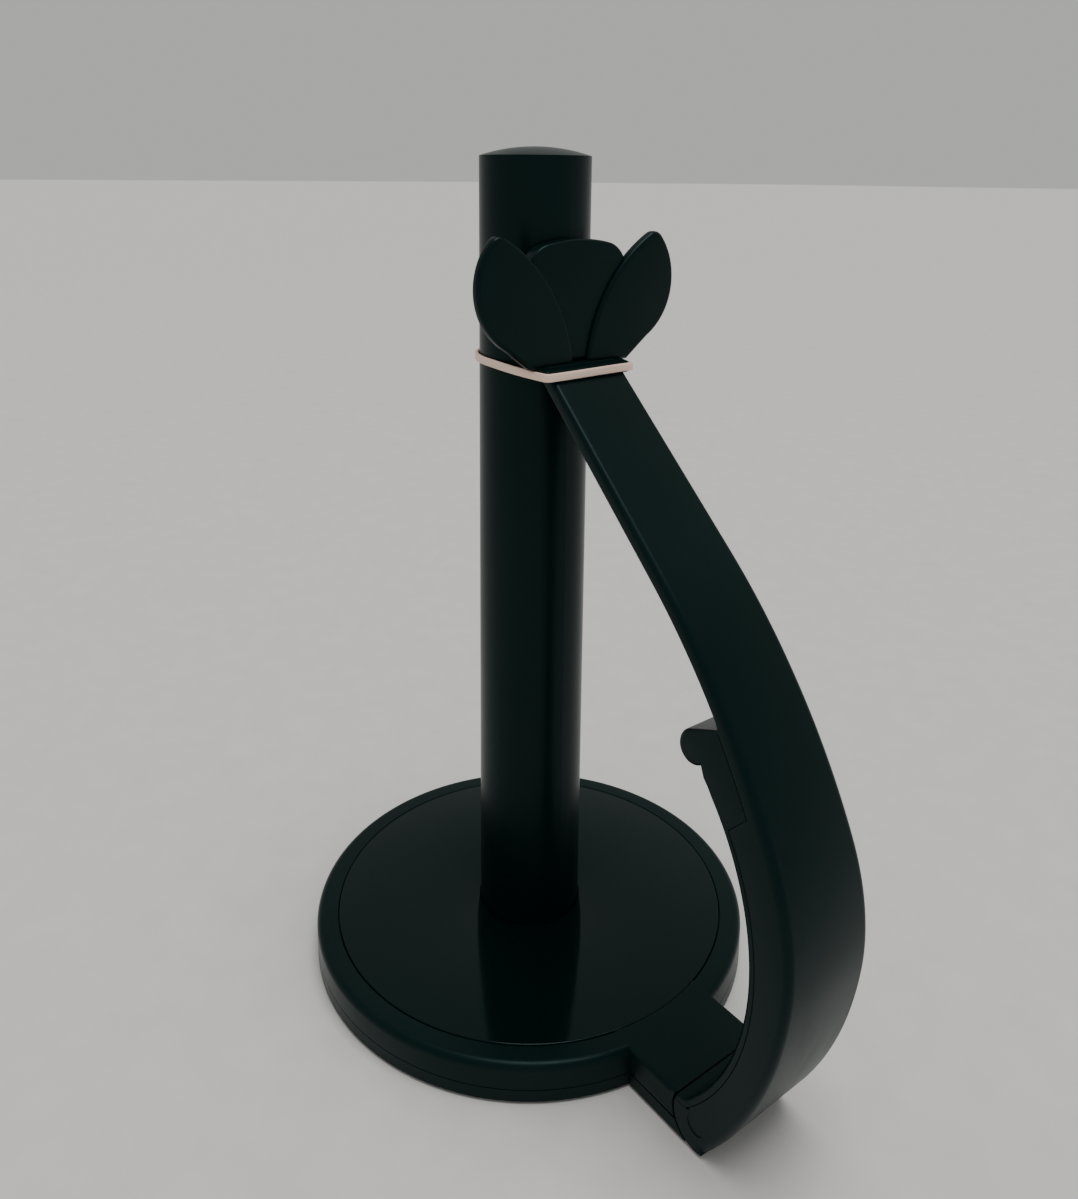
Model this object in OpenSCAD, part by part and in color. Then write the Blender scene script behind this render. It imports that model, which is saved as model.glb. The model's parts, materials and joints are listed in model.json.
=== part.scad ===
// Free-standing paper towel holder: a weighted round base with a thick post, and a sprung
// arm that grows out of a lug on the base and presses a petal-shaped head against the roll.
// The origin is the post's axis at table level. +X runs along the arm, +Z is up.

/* [Base] */
// Radius of the round base
base_r = 82.3; // [81:0.1:84]
// Height of the base's top face above the table
base_h = 14.6; // [14.4:0.1:15.6]
// Radius of the glossy deck plate let into the base
deck_r = 74; // [73:0.1:74.4]
// Thickness of the deck plate
deck_t = 1.8; // [1.5:0.1:2]
// Wall thickness of the base mouldings
shell_wall = 2.5; // [2.2:0.1:2.6]
// Radius of the rounding along the top rim
rim_round = 2.4; // [1.5:0.1:2.6]
// Height of the joint line between base shell and bottom cover
seam_z = 5.2; // [5:0.1:5.4]
// Half width of the lug that carries the arm
lug_half_w = 19; // [18.8:0.1:20]

/* [Post] */
// Radius of the post that the roll's core slides over
post_r = 19.1; // [18:0.1:19.2]
// Height of the top of the post tube
post_top = 297; // [285:1:320]
// Wall thickness of the post tube
post_wall = 2.2; // [1.8:0.1:2.6]
// Height of the domed cap above the tube
cap_h = 3.7; // [3:0.1:5]

/* [Arm outline] */
// Distance from the post's axis to the tip of the arm's foot
tip_x = 111.3; // [111:0.1:112]
// Lean of the outer face at the foot, in degrees from the table
lean_foot = 52; // [51:0.5:53]
// Lean of the outer face at the end of the first bend
lean_low = 84; // [83:0.5:85]
// Lean of the outer face at the end of the second bend
lean_mid = 113.5; // [113:0.5:114]
// Lean of the straight strap that runs to the head
lean_top = 136.8; // [136:0.1:137]
// Radius of the first, long bend
bend_low = 132; // [130:1:134]
// Radius of the second bend, at the widest place
bend_mid = 78; // [77:0.5:79]
// Radius of the third bend, above the widest place
bend_top = 218; // [215:1:221]
// Half width of the arm at table level
arm_half_w = 19; // [18.5:0.1:19.2]
// Loss of half width for each millimetre of height
arm_taper = 0.0155; // [0.013:0.0005:0.018]
// Thickness of the plain strap above the nose
strap_t = 5; // [4.5:0.1:5.4]
// Radius of the arm's inner face, below the nose
inner_r = 80.3; // [80:0.1:81]

/* [Nose] */
// Radius of the rounded nose at the top of the inner cover
nose_r = 5.4; // [5:0.1:5.8]

/* [Hinge] */
// Radius of the hinge pin
pin_r = 2; // [1.8:0.1:2]
// Radial play between the pin and its bushes
pin_play = 0.05; // [0.02:0.01:0.1]
// Radius of the arm's round foot about the pin
hub_r = 9.4; // [9:0.1:9.4]
// Gap between the arm's foot and the lug
hub_gap = 0.5; // [0.4:0.1:0.8]

/* [Head] */
// Gap between the back of the head and the post
head_gap = 0.4; // [0.3:0.1:0.8]
// Thickness of the head's middle petal
petal_t = 5.1; // [4.6:0.1:5.6]
// How far the side petals stand proud of the middle one
petal_step = 1.6; // [1:0.1:2.2]
// Radius of the rounded tips of the side petals
tip_r = 4.2; // [3:0.1:5]
// Thickness of the side petals
side_t = 3.8; // [3.4:0.1:5]

/* [Rubber band] */
// Height of the band
band_h = 2.7; // [2:0.1:3]
// Thickness of the band
band_t = 1.2; // [0.8:0.1:1.4]

/* [Hidden] */
$fn = 96;
// A length past every face, for cuts
far = 400;

// Base: heights from the table up
pad_h = 1;
pad_recess = 0.6;
cover_floor = 2.4;
cover_top = pad_h + cover_floor;
screw_seat_z = 5.4;
ceiling_z = base_h - deck_t - shell_wall;
lug_ceiling_z = base_h - shell_wall;
lip_gap = 0.2;
lip_t = 1.8;

// Post socket and its bolt
socket_floor_z = 7.6;
socket_floor_t = 3;
socket_wall = 2.8;
socket_gap = 0.1;
bolt_r = 2.9;
bolt_hole_r = 3.2;
bolt_head_r = 6.5;
bolt_head_h = 2.2;
washer_r = 11;
washer_t = 1;
access_r = 12;
plug_h = 20;
cap_skirt = 0.6;

// Ballast ring
ballast_r_in = 24.5;
ballast_r_out = 63;
ballast_t = 6;

// Small self-tapping screws
screw_r = 1.4;
screw_hole_r = 1.45;
screw_clear_r = 1.6;
screw_head_r = 2.8;
screw_head_h = 1.8;
screw_boss_r = 4.2;
screw_circle_r = 73.5;
screw_angles = [90, 180, 270];

// Rubber feet: four near the rim and one under the lug
pad_r = 7;
pad_circle_r = 68;
pad_places = concat([for (a = [45 : 90 : 315]) pad_circle_r * [cos(a), sin(a)]], [[88, 0]]);

// Hinge: pin centre in the plane of the arm
pivot = [109.5, 10.2];
wall_y = 15;
knuckle_r = 4.5;
knuckle_in_y = 5.8;
knuckle_out_y = 13.6;
flange_t = 1;
flange_r = 4.2;
bush_r = 3.2;
pin_half_l = 17;
pin_cap_r = 3.4;
pin_cap_t = 1.6;
bracket_x0 = 77.2;
bracket_x1 = 98;
bracket_half_w = 14;
bracket_top = 11.8;
tongue_z0 = 5.7;
tongue_z1 = 11.4;
bracket_screw_x = [80.5, 94];
bracket_screw_y = 8.5;

// Torsion spring
wire_r = 0.65;
coil_r = 3.05;
coil_turns = 7;
coil_half_l = 4.9;
spring_leg_lean = 75;
spring_leg_l = 18.5;
spring_tail_x = 86;
steps_per_turn = 12;
wire_sides = 8;

// Arm: centres of the three bends of the outer face and the points where they meet
function heading(a) = [cos(a), sin(a)];
function outward(a) = [sin(a), -cos(a)];
bend_c1 = [tip_x, 0] - bend_low * outward(lean_foot);
bend_c2 = bend_c1 + (bend_low - bend_mid) * outward(lean_low);
bend_c3 = bend_c2 + (bend_mid - bend_top) * outward(lean_mid);
bend_steps = 12;
inner_c = [44.5, 69];
outer_wall = 3;
cover_t = 2.5;
cavity_top = 116;
wall_inset = arm_half_w - arm_taper * pivot.y - wall_y;
foot_cover_z = 12.8;

// Nose: a round bead joined to the strap by a straight top face
nose_c = [98.8, 130.9];
nose_root = [108.9, 141.3];
nose_under = [104, 124.4];
// Points within the arm's thickness that the nose's solid reaches back to
nose_back = [[124, 124], [110, 114]];
// How far the nose may stand inside the inner face
nose_reach = 4;
// The thick lower part ends along a line from the nose's root to here
thick_top = [150, 158];
thick_x0 = 90;
nose_span = norm(nose_root - nose_c);
nose_top_a = atan2(nose_root.y - nose_c.y, nose_root.x - nose_c.x) + acos(nose_r / nose_span);

// Screws that hold the inner cover, as angles on the inner face
arm_screw_angles = [-19, 23];
arm_screw_r = 1.2;
arm_screw_l = 8;
arm_screw_head_r = 2.5;
arm_screw_head_h = 1.5;
arm_boss_r = 3.2;

// Head and the collar under it
head_x = post_r + head_gap;
collar_x = 30.6;
collar_half_w = 17.6;
collar_round = 1;
collar_z0 = 226.4;
collar_z1 = 231.4;
collar_slope_z = 230;
backing_z0 = 221;
slot_x0 = head_x + 1.4;
slot_x1 = slot_x0 + 2.6;
slot_half_w = 9;
slot_z0 = 223.8;
slot_play = 0.1;
head_screw_y = 5;
head_screw_z = 228.8;
head_screw_r = 1.1;
head_screw_l = 6.5;
middle_r = 60;
middle_top = 271.2;
middle_half_w = 19.5;
shoulder_r = 9.5;
shoulder_y = 11;
shoulder_z = middle_top - middle_r + sqrt(pow(middle_r - shoulder_r, 2) - shoulder_y * shoulder_y);
bowl_c = [18.5, 256.6];
bowl_r = 22.6;
bowl_foot_a = -60;
petal_foot = [20.5, 229.9];
crease_c = [57.2, 224.9];
crease_r = 54.6;
// Centre of the tip: its round meets the bowl's and the crease's arcs without a corner
petal_d = norm(crease_c - bowl_c);
petal_u = (crease_c - bowl_c) / petal_d;
tip_along = (pow(bowl_r - tip_r, 2) - pow(crease_r - tip_r, 2) + petal_d * petal_d) / (2 * petal_d);
tip_across = sqrt(pow(bowl_r - tip_r, 2) - tip_along * tip_along);
tip_c = bowl_c + tip_along * petal_u + tip_across * [-petal_u.y, petal_u.x];
tip_a0 = atan2(tip_c.y - bowl_c.y, tip_c.x - bowl_c.x);
tip_a1 = atan2(tip_c.y - crease_c.y, tip_c.x - crease_c.x);
petal_foot_a = 172.5;
petal_steps = 18;

// Rubber band round the post and the collar
band_gap = 0.3;
band_arc_steps = 8;
band_z = 226.9 + band_h / 2;

dark = [0.07, 0.09, 0.09];
gloss_dark = [0.04, 0.05, 0.05];
steel = [0.7, 0.7, 0.72];
zinc = [0.62, 0.63, 0.65];
iron = [0.28, 0.28, 0.29];
rubber = [0.1, 0.1, 0.1];
nylon = [0.83, 0.82, 0.77];
latex = [0.86, 0.66, 0.55];

// Shared shapes

// Points along an arc
function arc(c, r, a0, a1, n) = [for (i = [0 : n]) c + r * heading(a0 + (a1 - a0) * i / n)];

// Lays a flat outline drawn in X and Z on edge, half_w wide to each side
module on_edge(half_w) {
    rotate([90, 0, 0]) linear_extrude(height = 2 * half_w, center = true) children();
}

// Turns a cylinder's axis to Y, centred on the hinge pin
module at_pivot() {
    translate([pivot.x, 0, pivot.y]) rotate([90, 0, 0]) children();
}

// Places children at each bracket screw
module at_bracket_screws() {
    for (x = bracket_screw_x, y = [-bracket_screw_y, bracket_screw_y]) translate([x, y, 0]) children();
}

// Places children at each cover screw
module at_cover_screws() {
    for (a = screw_angles) rotate(a) translate([screw_circle_r, 0, 0]) children();
}

module ring(r_out, r_in, h) {
    difference() {
        cylinder(r = r_out, h = h);
        translate([0, 0, -1]) cylinder(r = r_in, h = h + 2);
    }
}

// Pan-head screw standing head down at z = pad_h + 0.2
module base_screw(length) {
    translate([0, 0, pad_h + 0.2]) {
        difference() {
            cylinder(r = screw_head_r, h = screw_head_h);
            for (a = [0, 90]) rotate(a) cube([3, 0.8, 1.6], center = true);
        }
        cylinder(r = screw_r, h = length);
    }
}

// Counterbore and clearance hole for a base screw
module base_screw_hole() {
    translate([0, 0, -1]) cylinder(r = screw_head_r + 0.2, h = pad_h + screw_head_h + 1.4);
    cylinder(r = screw_clear_r, h = screw_seat_z + 1);
}

// Base

// Round base and lug in plan
module base_plan(inset) {
    circle(r = base_r - inset);
    translate([0, inset - lug_half_w]) square([pivot.x, 2 * (lug_half_w - inset)]);
}

// Solid disc with a rounded rim, from z0 to the top
module rim_disc(z0) {
    rotate_extrude() intersection() {
        union() {
            translate([0, z0]) square([base_r, base_h - rim_round - z0]);
            translate([0, z0]) square([base_r - rim_round, base_h - z0]);
            translate([base_r - rim_round, base_h - rim_round]) circle(r = rim_round);
        }
        square([far, far]);
    }
}

// Room for the arm's round foot, cut out of everything at the lug's end
module foot_room() {
    at_pivot() cylinder(r = hub_r + hub_gap, h = far, center = true);
    translate([pivot.x - 4, -far / 2, -1]) cube([far, far, far]);
}

module base_hollow() {
    difference() {
        translate([0, 0, -1]) cylinder(r = base_r - shell_wall, h = ceiling_z + 1);
        translate([0, 0, -2]) cylinder(r = post_r + socket_gap + socket_wall, h = far);
    }
    translate([deck_r + shell_wall, shell_wall - lug_half_w, -1])
        cube([far, 2 * (lug_half_w - shell_wall), lug_ceiling_z + 1]);
}

module base_shell() {
    color(dark) difference() {
        union() {
            difference() {
                union() {
                    rim_disc(seam_z);
                    translate([0, -lug_half_w, seam_z]) cube([pivot.x, 2 * lug_half_w, base_h - seam_z]);
                }
                base_hollow();
            }
            at_cover_screws() translate([0, 0, screw_seat_z])
                cylinder(r = screw_boss_r, h = ceiling_z - screw_seat_z + 0.5);
            for (r = [32, 58]) translate([0, 0, cover_top + ballast_t + 0.1])
                ring(r, r - 2, ceiling_z - cover_top - ballast_t + 0.4);
            translate([0, 0, socket_floor_z - socket_floor_t])
                cylinder(r = post_r + socket_gap + socket_wall, h = socket_floor_t + 1);
        }
        translate([0, 0, base_h - deck_t]) cylinder(r = deck_r + lip_gap, h = far);
        translate([0, 0, socket_floor_z]) cylinder(r = post_r + socket_gap, h = far);
        translate([0, 0, -1]) cylinder(r = bolt_hole_r, h = far);
        at_cover_screws() cylinder(r = screw_hole_r, h = ceiling_z);
        foot_room();
    }
}

module deck_plate() {
    color(gloss_dark) translate([0, 0, base_h - deck_t]) ring(deck_r, post_r + 0.3, deck_t);
}

module ballast_ring() {
    color(iron) translate([0, 0, cover_top + 0.05]) ring(ballast_r_out, ballast_r_in, ballast_t);
}

module bottom_cover() {
    color(dark) difference() {
        union() {
            translate([0, 0, pad_h]) linear_extrude(height = cover_floor) base_plan(0);
            translate([0, 0, pad_h]) linear_extrude(height = seam_z - pad_h) difference() {
                base_plan(0);
                base_plan(shell_wall);
            }
            difference() {
                translate([0, 0, pad_h]) ring(base_r - shell_wall - lip_gap, base_r - shell_wall - lip_t, 6);
                translate([0, -lug_half_w, 0]) cube([far, 2 * lug_half_w, far]);
            }
            at_cover_screws() translate([0, 0, pad_h])
                cylinder(r = screw_boss_r, h = screw_seat_z - pad_h - 0.05);
            translate([bracket_x0, -bracket_half_w, pad_h])
                cube([bracket_x1 - bracket_x0, 2 * bracket_half_w, screw_seat_z - pad_h]);
        }
        at_cover_screws() base_screw_hole();
        at_bracket_screws() base_screw_hole();
        translate([0, 0, -1]) cylinder(r = access_r, h = far);
        for (p = pad_places) translate([p.x, p.y, 0]) cylinder(r = pad_r + 0.1, h = pad_h + pad_recess);
        foot_room();
    }
}

module cover_screws() {
    color(zinc) at_cover_screws() base_screw(8.5);
}

// Rubber pad that closes the hole under the post bolt
module centre_pad() {
    color(rubber) {
        cylinder(r = 15, h = pad_h);
        ring(access_r - 0.2, access_r - 2.4, pad_h + 1.6);
    }
}

module foot_pad(i) {
    color(rubber) translate([pad_places[i].x, pad_places[i].y, 0]) {
        cylinder(r1 = pad_r - 0.8, r2 = pad_r, h = 0.8);
        translate([0, 0, 0.8]) cylinder(r = pad_r, h = pad_h + pad_recess - 0.8);
    }
}

// Post

module post_tube() {
    color(dark) translate([0, 0, socket_floor_z]) ring(post_r, post_r - post_wall, post_top - socket_floor_z);
}

// Domed cap: a short skirt, a shallow dome and a hollow spigot in the tube
module post_cap() {
    dome_h = cap_h - cap_skirt;
    dome_r = (post_r * post_r + dome_h * dome_h) / (2 * dome_h);
    color(dark) difference() {
        union() {
            translate([0, 0, post_top]) rotate_extrude() intersection() {
                translate([0, cap_h - dome_r]) circle(r = dome_r, $fn = 6 * $fn);
                square([post_r, cap_h]);
            }
            translate([0, 0, post_top - 12]) cylinder(r = post_r - post_wall - 0.05, h = 12.5);
        }
        translate([0, 0, post_top - 13]) cylinder(r = post_r - post_wall - 2, h = 13);
    }
}

// Plug with the threaded bore for the post bolt
module post_foot_plug() {
    color(nylon) translate([0, 0, socket_floor_z])
        ring(post_r - post_wall - 0.05, bolt_r + 0.05, plug_h);
}

module post_bolt() {
    color(zinc) translate([0, 0, socket_floor_z - socket_floor_t - washer_t - bolt_head_h]) {
        difference() {
            cylinder(r = bolt_head_r, h = bolt_head_h);
            cylinder(r = 2.4, h = 2.4, center = true, $fn = 6);
        }
        cylinder(r = bolt_r, h = 21);
    }
}

module bolt_washer() {
    color(zinc) translate([0, 0, socket_floor_z - socket_floor_t - washer_t])
        ring(washer_r, bolt_hole_r, washer_t);
}

// Hinge

module bracket_outline() {
    translate([bracket_x0, screw_seat_z]) square([bracket_x1 - bracket_x0, bracket_top - screw_seat_z]);
    translate([bracket_x1 - 1, tongue_z0]) square([pivot.x - bracket_x1 + 1, tongue_z1 - tongue_z0]);
    translate(pivot) circle(r = knuckle_r);
}

module hinge_bracket() {
    color(nylon) difference() {
        intersection() {
            on_edge(bracket_half_w) bracket_outline();
            union() {
                translate([0, -far / 2, 0]) cube([bracket_x1, far, far]);
                on_edge(knuckle_out_y) square([far, far]);
            }
        }
        translate([pivot.x - 9, -knuckle_in_y, 0]) cube([far, 2 * knuckle_in_y, far]);
        translate([spring_tail_x - 1, -coil_half_l - 1, 0]) cube([20, 2, pivot.y - coil_r + 1]);
        at_pivot() cylinder(r = bush_r, h = far, center = true);
        at_bracket_screws() cylinder(r = screw_hole_r, h = bracket_top - 1);
    }
}

module bracket_screws() {
    color(zinc) at_bracket_screws() base_screw(9);
}

// Flanged bush; side is -1 or 1 along Y
module hinge_bush(side) {
    color(nylon) at_pivot() mirror([0, 0, side > 0 ? 1 : 0]) difference() {
        union() {
            translate([0, 0, knuckle_in_y]) cylinder(r = bush_r, h = knuckle_out_y - knuckle_in_y);
            translate([0, 0, knuckle_out_y]) cylinder(r = flange_r, h = flange_t);
        }
        cylinder(r = pin_r + pin_play, h = far);
    }
}

module hinge_pin() {
    color(steel) at_pivot() cylinder(r = pin_r, h = 2 * pin_half_l, center = true);
}

// Flush cap over the pin's end
module pin_cap(side) {
    color(dark) at_pivot() mirror([0, 0, side > 0 ? 1 : 0])
        translate([0, 0, pin_half_l + 0.1]) cylinder(r = pin_cap_r - 0.05, h = pin_cap_t);
}

// Round wire swept along a list of points that never runs along Y
module sweep_wire(path, r, sides) {
    n = len(path);
    function along(i) = path[min(i + 1, n - 1)] - path[max(i - 1, 0)];
    function unit(v) = v / norm(v);
    function across(i) = unit(cross([0, 1, 0], along(i)));
    function above(i) = unit(cross(along(i), across(i)));
    points = [for (i = [0 : n - 1], k = [0 : sides - 1])
        path[i] + r * (cos(k * 360 / sides) * across(i) + sin(k * 360 / sides) * above(i))];
    walls = [for (i = [0 : n - 2], k = [0 : sides - 1]) let (m = (k + 1) % sides)
        [i * sides + k, (i + 1) * sides + k, (i + 1) * sides + m, i * sides + m]];
    first = [for (k = [0 : sides - 1]) k];
    last = [for (k = [sides - 1 : -1 : 0]) (n - 1) * sides + k];
    polyhedron(points = points, faces = concat([first], walls, [last]), convexity = 10);
}

// Tail in the bracket, seven turns round the pin, and a leg that bears on the inner cover
module torsion_spring() {
    turn_start = -90;
    turn_end = spring_leg_lean - 90 + 360 * coil_turns;
    steps = ceil((turn_end - turn_start) / 360 * steps_per_turn);
    coil = [for (i = [0 : steps]) let (f = i / steps, a = turn_start + f * (turn_end - turn_start))
        [pivot.x + coil_r * cos(a), (2 * f - 1) * coil_half_l, pivot.y + coil_r * sin(a)]];
    tail = [[spring_tail_x, -coil_half_l, pivot.y - coil_r], [pivot.x - 3, -coil_half_l, pivot.y - coil_r]];
    leg_way = [cos(spring_leg_lean), 0, sin(spring_leg_lean)];
    leg = [for (s = [0.15, 1]) coil[steps] + s * spring_leg_l * leg_way];
    color(steel) sweep_wire(concat(tail, coil, leg), wire_r, wire_sides);
}

// Arm

// The outer face in the arm's plane, moved inwards by t
function bend(c, r, a0, a1) = [for (i = [0 : bend_steps]) c + r * outward(a0 + (a1 - a0) * i / bend_steps)];
function outer_face(t) = concat(
    [bend_c1 + (bend_low - t) * outward(lean_foot) - 6 * heading(lean_foot)],
    bend(bend_c1, bend_low - t, lean_foot, lean_low),
    bend(bend_c2, bend_mid - t, lean_low, lean_mid),
    bend(bend_c3, bend_top - t, lean_mid, lean_top),
    [bend_c3 + (bend_top - t) * outward(lean_top) + 100 * heading(lean_top)]);

module inside_outer(t) {
    polygon(concat(outer_face(t), [[-40, 245], [-40, -6]]));
}

// A wedge whose half width follows the arm's taper, less an inset
module taper_wedge(inset) {
    top = 300;
    rotate([90, 0, 90]) linear_extrude(height = far) polygon([
        [-arm_half_w + inset, 0], [arm_half_w - inset, 0],
        [arm_half_w - inset - arm_taper * top, top], [-arm_half_w + inset + arm_taper * top, top]]);
}

// The thick lower part's zone, above the lug and below the nose's top face
module thick_zone() {
    polygon([[thick_x0, base_h], [thick_x0, nose_under.y], nose_under,
        nose_root, thick_top, [thick_top.x, base_h]]);
}

module nose_outline() {
    difference() {
        union() {
            translate(nose_c) circle(r = nose_r);
            polygon(concat([nose_c + nose_r * heading(nose_top_a), nose_root], nose_back, [nose_under, nose_c]));
        }
        difference() {
            translate([0, 0]) square([far, far]);
            inside_outer(strap_t);
        }
        translate(inner_c) circle(r = inner_r - nose_reach);
    }
}

// Round foot about the pin, up to the lug's top
module foot_outline() {
    intersection() {
        union() {
            translate(pivot) circle(r = hub_r);
            translate([pivot.x, 3]) square([20, far]);
        }
        square([far, base_h]);
    }
}

module arm_outline() {
    intersection() {
        inside_outer(0);
        union() {
            difference() {
                thick_zone();
                translate(inner_c) circle(r = inner_r);
            }
            foot_outline();
            nose_outline();
            difference() {
                translate([0, 100]) square([far, far]);
                inside_outer(strap_t);
            }
        }
    }
}

// Inner cover: the skin of the inner face, its foot, and the nose
module inner_cover_outline() {
    intersection() {
        arm_outline();
        union() {
            intersection() {
                thick_zone();
                translate(inner_c) circle(r = inner_r + cover_t);
            }
            translate([90, foot_cover_z]) square([106.5 - 90, base_h - foot_cover_z]);
            nose_outline();
        }
    }
}

// Room round the bracket's knuckles and the flanges of the bushes
module knuckle_room() {
    at_pivot() cylinder(r = knuckle_r + 0.6, h = far, center = true);
}

module cavity_outline() {
    difference() {
        intersection() {
            thick_zone();
            inside_outer(outer_wall);
            square([far, cavity_top]);
        }
        translate(inner_c) circle(r = inner_r + cover_t);
    }
    translate(pivot) circle(r = hub_r - 2.4);
    translate([90, 0]) square([pivot.x - 91, foot_cover_z]);
    intersection() {
        inside_outer(outer_wall);
        translate([pivot.x - 4, pivot.y]) square([20, 6]);
    }
}

// Points an axis outwards from the inner face at angle a, starting on that face
module on_inner_face(a) {
    translate([inner_c.x + inner_r * cos(a), 0, inner_c.y + inner_r * sin(a)])
        rotate([0, 90 - a, 0]) children();
}

// Collar at the strap's top, with a slot for the head's tongue
module collar() {
    intersection() {
        translate([0, 0, collar_z0]) linear_extrude(height = collar_z1 - collar_z0) {
            translate([head_x, -collar_half_w]) square([collar_x - collar_round - head_x, 2 * collar_half_w]);
            translate([head_x, collar_round - collar_half_w])
                square([collar_x - head_x, 2 * (collar_half_w - collar_round)]);
            for (y = [-1, 1]) translate([collar_x - collar_round, y * (collar_half_w - collar_round)])
                circle(r = collar_round);
        }
        on_edge(far) polygon([
            [head_x, collar_z0], [collar_x, collar_z0], [collar_x, collar_slope_z],
            [head_x + petal_t, collar_z1], [head_x, collar_z1]]);
    }
    on_edge(12) intersection() {
        translate([head_x, backing_z0]) square([20, collar_z1 - backing_z0]);
        inside_outer(1);
    }
}

module head_slot(play) {
    translate([slot_x0 - play, -slot_half_w - play, slot_z0 - play])
        cube([slot_x1 - slot_x0 + 2 * play, 2 * (slot_half_w + play), far]);
}

module at_head_screws() {
    for (y = [-head_screw_y, head_screw_y]) translate([head_x, y, head_screw_z])
        rotate([0, 90, 0]) children();
}

module arm_shell() {
    color(dark) difference() {
        union() {
            difference() {
                intersection() {
                    on_edge(far) difference() {
                        arm_outline();
                        inner_cover_outline();
                        translate([0, collar_z1]) square([far, far]);
                        square([head_x, far]);
                    }
                    taper_wedge(0);
                }
                intersection() {
                    on_edge(far) cavity_outline();
                    taper_wedge(wall_inset);
                }
            }
            intersection() {
                for (a = arm_screw_angles) on_inner_face(a) translate([0, 0, cover_t])
                    cylinder(r = arm_boss_r, h = far);
                on_edge(far) inside_outer(outer_wall / 2);
            }
            collar();
        }
        for (a = arm_screw_angles) on_inner_face(a) cylinder(r = arm_screw_r + 0.05, h = cover_t + 7);
        at_pivot() cylinder(r = pin_r, h = far, center = true);
        for (s = [0, 1]) at_pivot() mirror([0, 0, s]) translate([0, 0, pin_half_l])
            cylinder(r = pin_cap_r, h = far);
        head_slot(slot_play);
        at_head_screws() translate([0, 0, -1]) cylinder(r = head_screw_r + 0.05, h = head_screw_l + 1.3);
        at_head_screws() translate([0, 0, -1]) cylinder(r = 2.1, h = 2);
    }
}

module arm_inner_cover() {
    color(dark) difference() {
        union() {
            intersection() {
                on_edge(far) inner_cover_outline();
                taper_wedge(0);
            }
            on_inner_face(-31.5) translate([0, 0, cover_t]) cube([8, 18, 0.8], center = true);
        }
        knuckle_room();
        for (a = arm_screw_angles) on_inner_face(a) {
            translate([0, 0, -1]) cylinder(r = arm_screw_head_r + 0.2, h = arm_screw_head_h + 1);
            cylinder(r = arm_screw_r + 0.2, h = far, center = true);
        }
    }
}

module arm_cover_screws() {
    color(zinc) for (a = arm_screw_angles) on_inner_face(a) {
        difference() {
            cylinder(r = arm_screw_head_r, h = arm_screw_head_h - 0.1);
            for (b = [0, 90]) rotate(b) cube([2.6, 0.7, 1.2], center = true);
        }
        cylinder(r = arm_screw_r, h = arm_screw_l);
    }
}

// Head

// Lays an outline drawn in Y and Z upright, from x0 to x1
module upright(x0, x1) {
    translate([x0, 0, 0]) rotate([90, 0, 90]) linear_extrude(height = x1 - x0) children();
}

// Middle petal: a nearly flat top that runs into two round shoulders
module middle_petal() {
    join_y = shoulder_y * middle_r / (middle_r - shoulder_r);
    intersection() {
        union() {
            intersection() {
                translate([0, middle_top - middle_r]) circle(r = middle_r, $fn = 4 * $fn);
                translate([-join_y, collar_z1]) square([2 * join_y, far]);
            }
            for (y = [-shoulder_y, shoulder_y]) translate([y, shoulder_z]) circle(r = shoulder_r);
            translate([-middle_half_w, collar_z1]) square([2 * middle_half_w, shoulder_z - collar_z1]);
        }
        translate([-middle_half_w, collar_z1]) square([2 * middle_half_w, far]);
    }
}

// Side petal on the +Y side: a straight foot, a round bowl edge, a round tip and a bowed crease
module side_petal() {
    difference() {
        polygon(concat(
            [[3, petal_foot.y], petal_foot],
            arc(bowl_c, bowl_r, bowl_foot_a, tip_a0, 2 * petal_steps),
            arc(tip_c, tip_r, tip_a0, tip_a1, petal_steps),
            arc(crease_c, crease_r, tip_a1, petal_foot_a, petal_steps)));
        translate([0, 200]) square([collar_half_w + 1.4, collar_z1 - 200]);
    }
}

module petal_head() {
    color(dark) difference() {
        union() {
            upright(head_x, head_x + petal_t) middle_petal();
            for (s = [0, 1]) mirror([0, s, 0])
                upright(head_x + petal_t + petal_step - side_t, head_x + petal_t + petal_step) side_petal();
            intersection() {
                head_slot(0);
                translate([0, -far / 2, 0]) cube([far, far, collar_z1 + 1]);
            }
        }
        at_head_screws() cylinder(r = head_screw_r + 0.05, h = head_screw_l + 0.3);
    }
}

module head_screws() {
    color(zinc) at_head_screws() {
        translate([0, 0, 0.1]) cylinder(r = 2, h = 0.8);
        translate([0, 0, 0.5]) cylinder(r = head_screw_r, h = head_screw_l - 0.5);
    }
}

// Rubber band

// Outline round the post and the collar's two front corners, grown by t
module band_outline(t) {
    ring_r = post_r + band_gap + t;
    corner = [collar_x - collar_round, collar_half_w - collar_round];
    corner_r = collar_round + band_gap + t;
    a = atan2(corner.y, corner.x) + acos((ring_r - corner_r) / norm(corner));
    polygon(concat(
        arc([0, 0], ring_r, a, 360 - a, 6 * band_arc_steps),
        arc([corner.x, -corner.y], corner_r, -a, 0, band_arc_steps),
        arc(corner, corner_r, 0, a, band_arc_steps)));
}

module rubber_band() {
    color(latex) translate([0, 0, band_z - band_h / 2]) linear_extrude(height = band_h) difference() {
        band_outline(band_t);
        band_outline(0);
    }
}

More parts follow.
